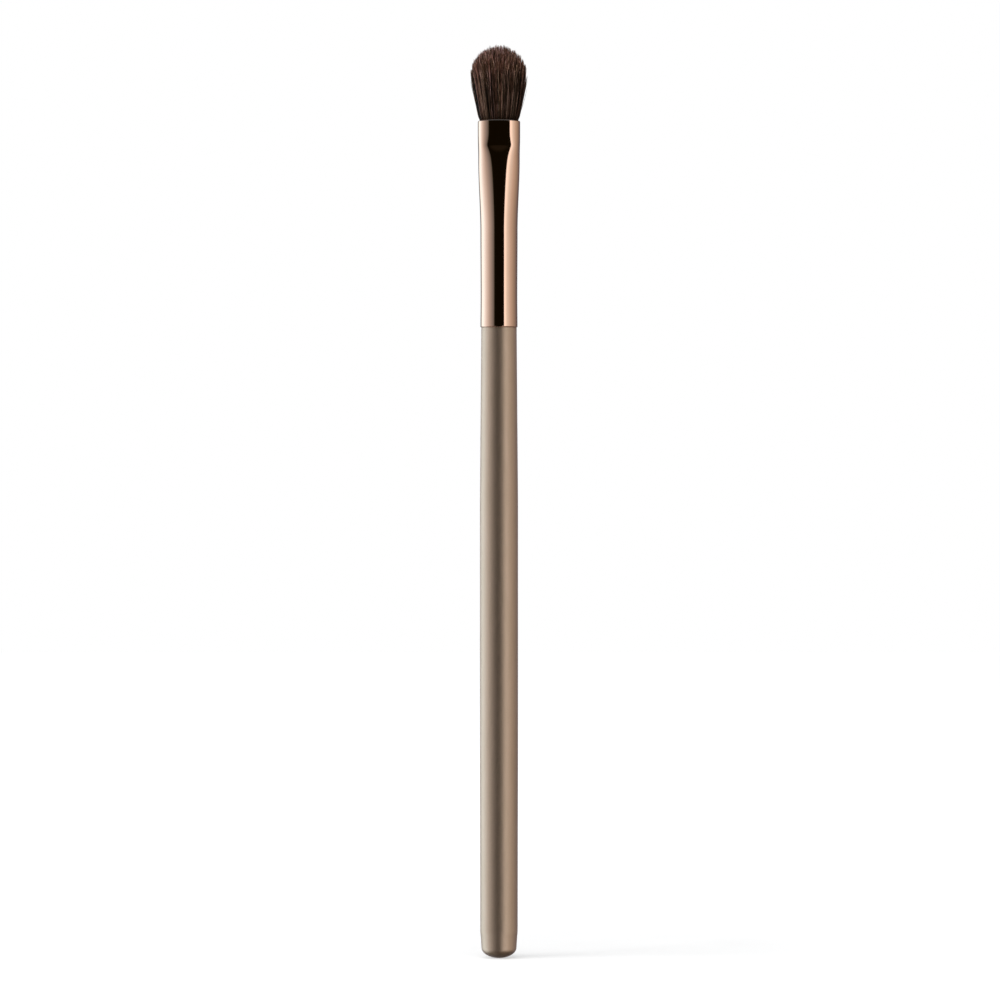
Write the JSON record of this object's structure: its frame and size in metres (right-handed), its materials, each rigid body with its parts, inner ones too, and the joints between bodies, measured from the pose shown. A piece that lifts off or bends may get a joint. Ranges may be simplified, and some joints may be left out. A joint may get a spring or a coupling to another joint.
{
  "type": "eyeshadow brush",
  "caption": "Cosmetic eyeshadow brush with a slim turned handle, a seamless ferrule pressed from round to oval, and a domed, fanned head of fine hair.",
  "frame": {"origin": "lowest point of the butt's dome, on the handle's axis", "axes": "+Z along the handle from the butt to the tip of the hair, +X across the width of the flattened head, +Y through its thickness; the broad face that the picture shows looks along -Y"},
  "size_m": [0.0108, 0.0083, 0.1699],
  "materials": {
    "handle_lacquer": "satin",
    "ferrule_metal": "polished",
    "hair": "satin",
    "thread": "matte",
    "resin": "gloss"
  },
  "bodies": {
    "root": {"handle": "handle_lacquer", "ferrule": "ferrule_metal", "hair_tuft": "hair", "root_bundle": "hair", "binding_thread": "thread", "root_glue": "resin", "tenon_glue": "resin"}
  },
  "joints": []
}
